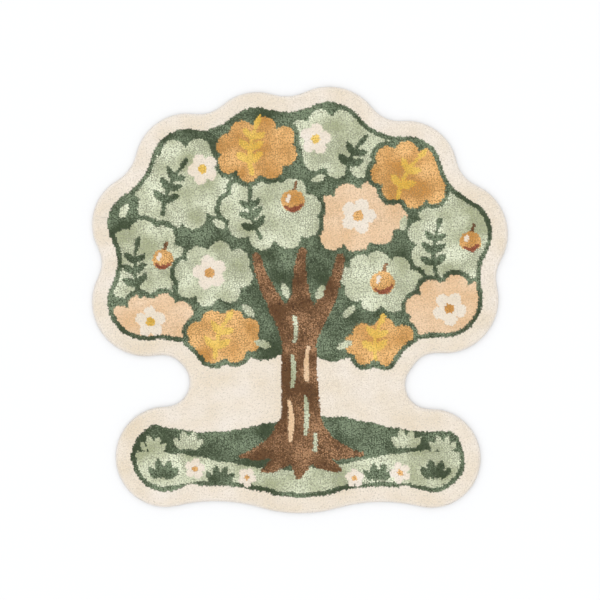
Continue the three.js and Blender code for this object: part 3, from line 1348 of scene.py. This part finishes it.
@dataclass
class Pile:
    """All the tufts: where they stand, which yarn each is, and the pieces that they are joined into.

    The rows and lines are set out by gauge and stitch, and each jitter is a share of them. Openings are the
    patches where the pile opens, humps and streaks its small unevenness in height and tone, and clouds its
    paler and deeper patches, partly in tone and partly as painted light and shade of the nap. Specks darken
    single tufts, partly at random and partly as painted shade where the pile opens, and the rim's tufts are
    made paler as painted light.
    """

    edge: Edge
    picture: TreePicture
    top: PileTop
    form: TuftForm = TuftForm()
    lean: Lean = Lean()
    gauge: float = 4.25 * MM
    stitch: float = 4.15 * MM
    gauge_jitter: float = 0.13
    stitch_jitter: float = 0.22
    rim_jitter: float = 0.16
    rim_rows: tuple[Station, ...] = (
        Station(2.0 * MM, 4.4 * MM),
        Station(1.0 * MM, 8.4 * MM),
        Station(3.2 * MM, 11.8 * MM),
        Station(6.8 * MM, 13.8 * MM),
    )
    field_inset: float = 10.4 * MM
    parting: float = 2.6 * MM
    parting_run: float = 24 * MM
    parting_start: float = 0.3
    openings: tuple[Waves, ...] = (Waves(170, 71, 1.3), Waves(45, 72, 0.9))
    opening: float = 0.1
    root_opening: float = 0.4
    humps: Waves = Waves(24, 41, 0.8)
    # Specks: darker single tufts, partly random tone and partly painted shade where the pile parts
    speck: float = 0.5
    closed_speck: float = 0.7
    streaks: Waves = Waves(11, 51, 0.2)
    # Clouds: paler and deeper patches, partly tone and partly painted light and shade of the nap
    clouds: tuple[Waves, ...] = (Waves(260, 61), Waves(90, 62, 0.9), Waves(30, 63, 0.22))
    # Painted light: how much paler the outermost tufts are, fading over the rim's fade
    painted_rim_light: float = 3.0
    rim_fade: float = 5 * MM
    border_reach: float = 5.0
    split_line: float = -215 * MM
    seed: int = 21
    pieces: list[bpy.types.Object] = field(default_factory=list, init=False)
    kinds: list[Yarn] = field(default_factory=list, init=False)

    def _field_places(self, rng: np.random.Generator) -> np.ndarray:
        """Sets out the tufts inside the rim, in tufting lines that run along the rug.

        Args:
            rng: Source of the small differences.

        Returns:
            Their places, one row each.
        """
        low, high = self.edge.points.min(axis=0), self.edge.points.max(axis=0)
        across = np.arange(low[0], high[0], self.gauge)
        along = np.arange(low[1], high[1], self.stitch)
        x, y = np.meshgrid(across, along)
        offset = rng.uniform(0, 1, len(across)) * self.stitch
        x = x + rng.normal(0, self.gauge_jitter, x.shape) * self.gauge
        y = y + offset + rng.normal(0, self.stitch_jitter, y.shape) * self.stitch
        places = np.stack([x, y], axis=-1).reshape(-1, 2)
        return places[self.edge.measure(places)[0] > self.field_inset]

    def _rim_places(self, inset: float, rng: np.random.Generator) -> np.ndarray:
        """Sets out one row of tufts round the rim.

        Args:
            inset: How far in from the edge the row is.
            rng: Source of the small differences.

        Returns:
            Their places, one row each.
        """
        ring = self.edge.drawn_in(inset)
        closed = np.concatenate([ring, ring[:1]])
        run = np.concatenate([[0], np.cumsum(np.linalg.norm(np.diff(closed, axis=0), axis=1))])
        count = round(run[-1] / self.stitch)
        at = (np.arange(count) + rng.normal(0, self.rim_jitter, count)) * run[-1] / count % run[-1]
        return np.stack([np.interp(at, run, closed[:, k]) for k in (0, 1)], axis=1)

    def _ways(
        self,
        places: np.ndarray,
        depth: np.ndarray,
        out: np.ndarray,
        sway: np.ndarray,
        rng: np.random.Generator,
    ) -> np.ndarray:
        """Works out where the tufts point.

        Args:
            places: Where the tufts end.
            depth: How far in from the edge each ends.
            out: Unit vectors towards the nearest edge.
            sway: How much each leans this way and that, as a share of the usual lean.
            rng: Source of the small differences.

        Returns:
            Unit vectors: gathered into swells inside the rug, and leaning out over the rim.
        """
        lean = self.lean
        x, y = places.T / MM
        slopes = np.array(lean.everywhere) + rng.normal(0, lean.uneven, places.shape)
        for swell in lean.swells:
            slopes += swell.slope(x, y)
        slopes *= sway[:, None]
        slopes[:, 1] += lean.at_folds * self.top.parted(places)
        inside = np.clip(depth / lean.calm_inset, lean.calm_share, 1)
        outwards = np.interp(depth, lean.insets, lean.outwards)
        flat = slopes * inside[:, None] + out * outwards[:, None]
        way = np.column_stack([flat, np.ones(len(places))])
        return way / np.linalg.norm(way, axis=1, keepdims=True)

    def build(self) -> None:
        """Places every tuft, reads its yarn from the picture and builds the pieces."""
        rng = np.random.default_rng(self.seed)
        rims = [self._rim_places(row.inset, rng) for row in self.rim_rows]
        places = np.concatenate([*rims, self._field_places(rng)])
        depth, out = self.edge.measure(places)
        inside = np.clip(depth / self.parting_run - self.parting_start, 0, 1)
        places[:, 1] += self.parting * self.top.parted(places) * inside
        yarn = Cartoon(self.picture, places, depth).yarn
        height = self.top.height(places, depth)
        on_rim = np.concatenate([np.full(len(rim), row.height) for row, rim in zip(self.rim_rows, rims)])
        height[: len(on_rim)] = on_rim
        x, y = places.T / MM
        stand = Stand(*np.array([astuple(STANDS[kind]) for kind in Yarn])[yarn].T)
        opened = np.clip(self.opening + summed(self.openings, x, y), 0, 1)
        height += stand.uneven * (rng.normal(0, 1, len(places)) + self.humps.height(x, y))
        # Specks darken single tufts at random, more where the pile opens, partly as painted shade in the
        # partings
        speck = self.speck * (1 - rng.exponential(1, len(places))) * (self.closed_speck + opened)
        # Painted light: paler tufts along the edge, where the pile turns down into shade
        bloom = self.painted_rim_light * np.exp(-((depth / self.rim_fade) ** 2))
        tufts = Tufts(
            tip=np.column_stack([places, height]),
            way=self._ways(places, depth, out, stand.sway, rng),
            length=np.where(depth < self.field_inset, self.form.rim_length, stand.depth + self.form.sunk),
            girth=stand.girth * (1 - stand.parting * opened),
            radius=stand.radius * (1 - self.root_opening * stand.parting * opened),
            drop=stand.drop,
            tone=speck + self.streaks.height(x, y),
            cloud=summed(self.clouds, x, y) + bloom,
        )
        border = (yarn == Yarn.CREAM.value) & (depth < (self.picture.border + self.border_reach) * MM)
        low = places[:, 1] < self.split_line
        for name, which, kind in self._groups(yarn, border, low):
            self.pieces.append(self._join(name, tufts.chosen(which), rng))
            self.kinds.append(kind)

    def dress(self) -> None:
        """Puts each yarn's finish on its pieces."""
        for piece, kind in zip(self.pieces, self.kinds):
            piece.data.materials.append(PileFinish(kind).material())

    @staticmethod
    def _groups(yarn: np.ndarray, border: np.ndarray, low: np.ndarray) -> list[tuple[str, np.ndarray, Yarn]]:
        """Sorts the tufts into pieces: by yarn, with the largest fields in two.

        Args:
            yarn: Each tuft's yarn, as its number.
            border: Which tufts are in the border.
            low: Which tufts are in the ground rather than the crown.

        Returns:
            Each piece's name, tufts and yarn.
        """
        groups = [("pile_border", border, Yarn.CREAM)]
        for kind in Yarn:
            mine = (yarn == kind.value) & ~border
            name = f"pile_{kind.name.lower()}"
            if kind in (Yarn.SAGE, Yarn.FOREST):
                groups.append((f"{name}_crown", mine & ~low, kind))
                groups.append((f"{name}_ground", mine & low, kind))
            else:
                groups.append((name, mine, kind))
        return groups

    @staticmethod
    def _across(turn: np.ndarray, way: np.ndarray) -> np.ndarray:
        """Turns angles round each tuft into unit vectors across it.

        Args:
            turn: Angles, one row a tuft, of any shape.
            way: Unit vectors along the tufts.

        Returns:
            The vectors, in the same shape.
        """
        side = np.cross(way, np.array([0.0, 1.0, 0.0]))
        side /= np.linalg.norm(side, axis=1, keepdims=True)
        axes = np.stack([side, np.cross(way, side)], axis=1)
        return np.einsum("t...k,tkd->t...d", np.stack([np.cos(turn), np.sin(turn)], axis=-1), axes)

    def _join(self, name: str, tufts: Tufts, rng: np.random.Generator) -> bpy.types.Object:
        """Joins the tufts of one piece into a mesh.

        Args:
            name: The piece's name.
            tufts: The tufts.
            rng: Source of the small differences.

        Returns:
            The piece, whose mesh carries each lock's tone, cloud and rise.
        """
        form = self.form
        count, locks = len(tufts.tip), form.locks
        step = FULL_TURN / locks
        start = rng.uniform(0, FULL_TURN, (count, 1))
        scatter = rng.uniform(-form.scatter, form.scatter, (count, locks))
        turn = start + (np.arange(locks) + scatter) * step
        reach = form.reach * tufts.girth[:, None] * np.sqrt(rng.uniform(form.nearest, 1, (count, locks)))
        shift = self._across(turn, tufts.way) * reach[..., None]
        drop = tufts.drop[:, None] * rng.uniform(0, 1, (count, locks))
        tip = tufts.tip[:, None] + shift - tufts.way[:, None] * drop[..., None]
        foot = tufts.tip - tufts.way * tufts.length[:, None]
        spin = rng.uniform(0, FULL_TURN, (count, locks, 1)) + np.arange(form.sides) * FULL_TURN / form.sides
        ring = self._across(spin, tufts.way) * tufts.radius[:, None, None, None]
        ring = (foot[:, None] + form.root_spread * shift)[:, :, None] + ring
        corners = np.concatenate([ring, tip[:, :, None]], axis=2).reshape(-1, 3)
        faces = (form.faces[None] + (np.arange(count) * form.corners)[:, None, None]).reshape(-1, 3)
        piece = new_mesh_object(name, corners, faces)
        tone = np.repeat(tufts.tone, locks) + rng.normal(0, form.tone, count * locks)
        # Rise is 0 at a lock's root and 1 at its tip; the finish darkens the roots by it as painted shade
        for label, values in (
            ("tone", np.repeat(np.clip(tone, -form.darkest, form.darkest), form.sides + 1)),
            ("cloud", np.repeat(tufts.cloud, form.corners)),
            ("rise", np.tile([0.0] * form.sides + [1.0], count * locks)),
        ):
            attribute = piece.data.attributes.new(label, "FLOAT", "POINT")
            attribute.data.foreach_set("value", values.astype(np.float32))
        self._flatten_map(piece, corners[:, :2], faces)
        return piece

    @staticmethod
    def _flatten_map(piece: bpy.types.Object, corners: np.ndarray, faces: np.ndarray) -> None:
        """Gives a piece a flat map seen from above, which fits its box.

        Args:
            piece: The piece.
            corners: Places of its corners on the rug.
            faces: Its triangles.
        """
        low, high = corners.min(axis=0), corners.max(axis=0)
        spread = (corners - low) / (high - low).max()
        layer = piece.data.uv_layers.new(name="OFBake")
        layer.data.foreach_set("uv", spread[faces.ravel()].astype(np.float32).ravel())


@dataclass
class Studio:
    """The plain pale floor, the soft lights and the camera straight above."""

    floor_side: float = 40.0
    floor_colour: tuple[float, float, float, float] = (0.624, 0.629, 0.636, 1.0)
    camera_height: float = 3.4
    photo_width: float = 1.548
    sensor: float = 36.0
    far_clip: float = 100.0
    key_place: tuple[float, float, float] = (-0.2, 0.1, 2.6)
    key_strength: float = 1.88
    key_spread: float = math.radians(115)
    sky_colour: tuple[float, float, float, float] = (1.0, 1.0, 1.0, 1.0)
    sky_strength: float = 1.0

    def build(self) -> None:
        """Builds the floor, the lights, the camera and the view."""
        self._floor()
        self._lights()
        self._camera()
        bpy.context.scene.view_settings.view_transform = "Standard"

    def _floor(self) -> None:
        """Lays the floor just under the rug."""
        half = self.floor_side / 2
        corners = np.array([(-half, -half, 0), (half, -half, 0), (half, half, 0), (-half, half, 0)])
        floor = new_mesh_object("studio_floor", corners, np.array([(0, 1, 2), (0, 2, 3)]))
        paint = NodeMaker("floor_paint")
        paint.finished(Base_Color=self.floor_colour, Roughness=1.0, Specular_IOR_Level=0.0)
        floor.data.materials.append(paint.material)
        floor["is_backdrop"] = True

    def _lights(self) -> None:
        """Sets one wide soft light overhead, a little up and to the left, under an even pale sky."""
        lamp = bpy.data.lights.new("key_light", "SUN")
        lamp.angle = self.key_spread
        lamp.energy = self.key_strength
        key = bpy.data.objects.new("key_light", lamp)
        key.location = self.key_place
        key.rotation_euler = key.location.to_track_quat("Z", "Y").to_euler()
        bpy.context.scene.collection.objects.link(key)
        world = bpy.data.worlds.new("studio_sky")
        world.use_nodes = True
        sky = world.node_tree.nodes["Background"]
        sky.inputs["Color"].default_value = self.sky_colour
        sky.inputs["Strength"].default_value = self.sky_strength
        bpy.context.scene.world = world

    def _camera(self) -> None:
        """Hangs the camera over the rug's middle, with the picture's width on the floor."""
        lens = bpy.data.cameras.new("camera")
        lens.sensor_width = self.sensor
        lens.lens = self.sensor * self.camera_height / self.photo_width
        lens.clip_end = self.far_clip
        camera = bpy.data.objects.new("camera", lens)
        camera.location = (0.0, 0.0, self.camera_height)
        bpy.context.scene.collection.objects.link(camera)
        bpy.context.scene.camera = camera


def main() -> None:
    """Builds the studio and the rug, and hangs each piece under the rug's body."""
    logging.basicConfig(level=logging.INFO, format="%(name)s: %(message)s")
    Studio().build()
    picture = TreePicture()
    edge = Edge(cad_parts[RUG_NODE])
    top = PileTop()
    ground = PileGround(edge, picture, top)
    pile = Pile(edge, picture, top)
    for part in (ground, pile):
        part.build()
        part.dress()
    pieces = [ground.piece, *pile.pieces]
    for piece in pieces:
        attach(piece, BODY)
        log.info("%s: %d triangles", piece.name, len(piece.data.polygons))
    log.info("all: %d triangles", sum(len(piece.data.polygons) for piece in pieces))
    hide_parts(RUG_NODE)
    width, length = np.ptp(edge.points, axis=0)
    edge.area
    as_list(pile.pieces)
    bounds = [[list(map(float, corner)) for corner in box] for box in (CAD_BOUNDS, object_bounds())]


if __name__ == "__main__":
    main()
